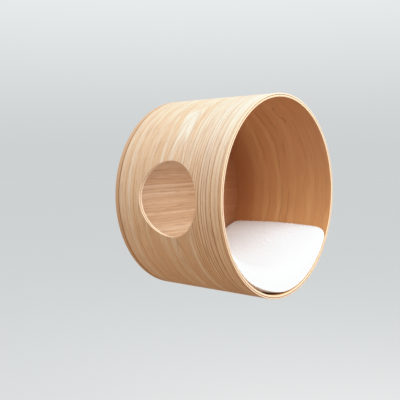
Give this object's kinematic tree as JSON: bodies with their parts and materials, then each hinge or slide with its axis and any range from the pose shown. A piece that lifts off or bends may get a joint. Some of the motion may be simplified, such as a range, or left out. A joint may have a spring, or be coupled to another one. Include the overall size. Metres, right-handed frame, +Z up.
{
  "type": "cat wall shelf",
  "caption": "Wall-mounted bent plywood cat drum with an open front, a round side entrance, a screw-on back panel and a loose washable cushion.",
  "frame": {"origin": "centre of the back face, on the wall, in the middle of the four wall screw holes", "axes": "+X to the right of someone who faces the wall, +Y into the wall, along the drum's axis, +Z up"},
  "size_m": [0.45, 0.3, 0.45],
  "materials": {
    "outer_veneer": "matt oiled veneer, grain round the drum",
    "inner_veneer": "matt oiled veneer, grain round the drum",
    "panel_veneer": "matt oiled veneer, grain level",
    "pin_steel": "bright drawn wire",
    "cup_steel": "turned, satin nickel",
    "fleece": "short-pile fleece",
    "base_cloth": "plain-woven cotton",
    "stuffing": "fibre filling",
    "zip_tape": "woven tape",
    "zip_nylon": "nylon coil",
    "zip_metal": "satin nickel"
  },
  "bodies": {
    "drum": {"outer_wrap": "outer_veneer", "inner_wrap": "inner_veneer", "back_panel": "panel_veneer", "panel_pins": "pin_steel", "screw_cups": "cup_steel"},
    "cushion": {"cushion_top": "fleece", "cushion_base": "base_cloth", "cushion_filling": "stuffing", "zip_tapes": "zip_tape", "zip_chain": "zip_nylon", "zip_stops": "zip_metal"},
    "zip_slider": {"zip_slider": "zip_metal"}
  },
  "joints": [
    {"name": "cushion_slide", "type": "slide", "parent": "drum", "child": "cushion", "axis": [0, -1, 0], "range_m": [0, 0.3]},
    {"name": "zip_run", "type": "hinge", "parent": "cushion", "child": "zip_slider", "pos_m": [0, -0.015, 0], "axis": [0, -1, 0], "range_deg": [0, 81.5]}
  ]
}
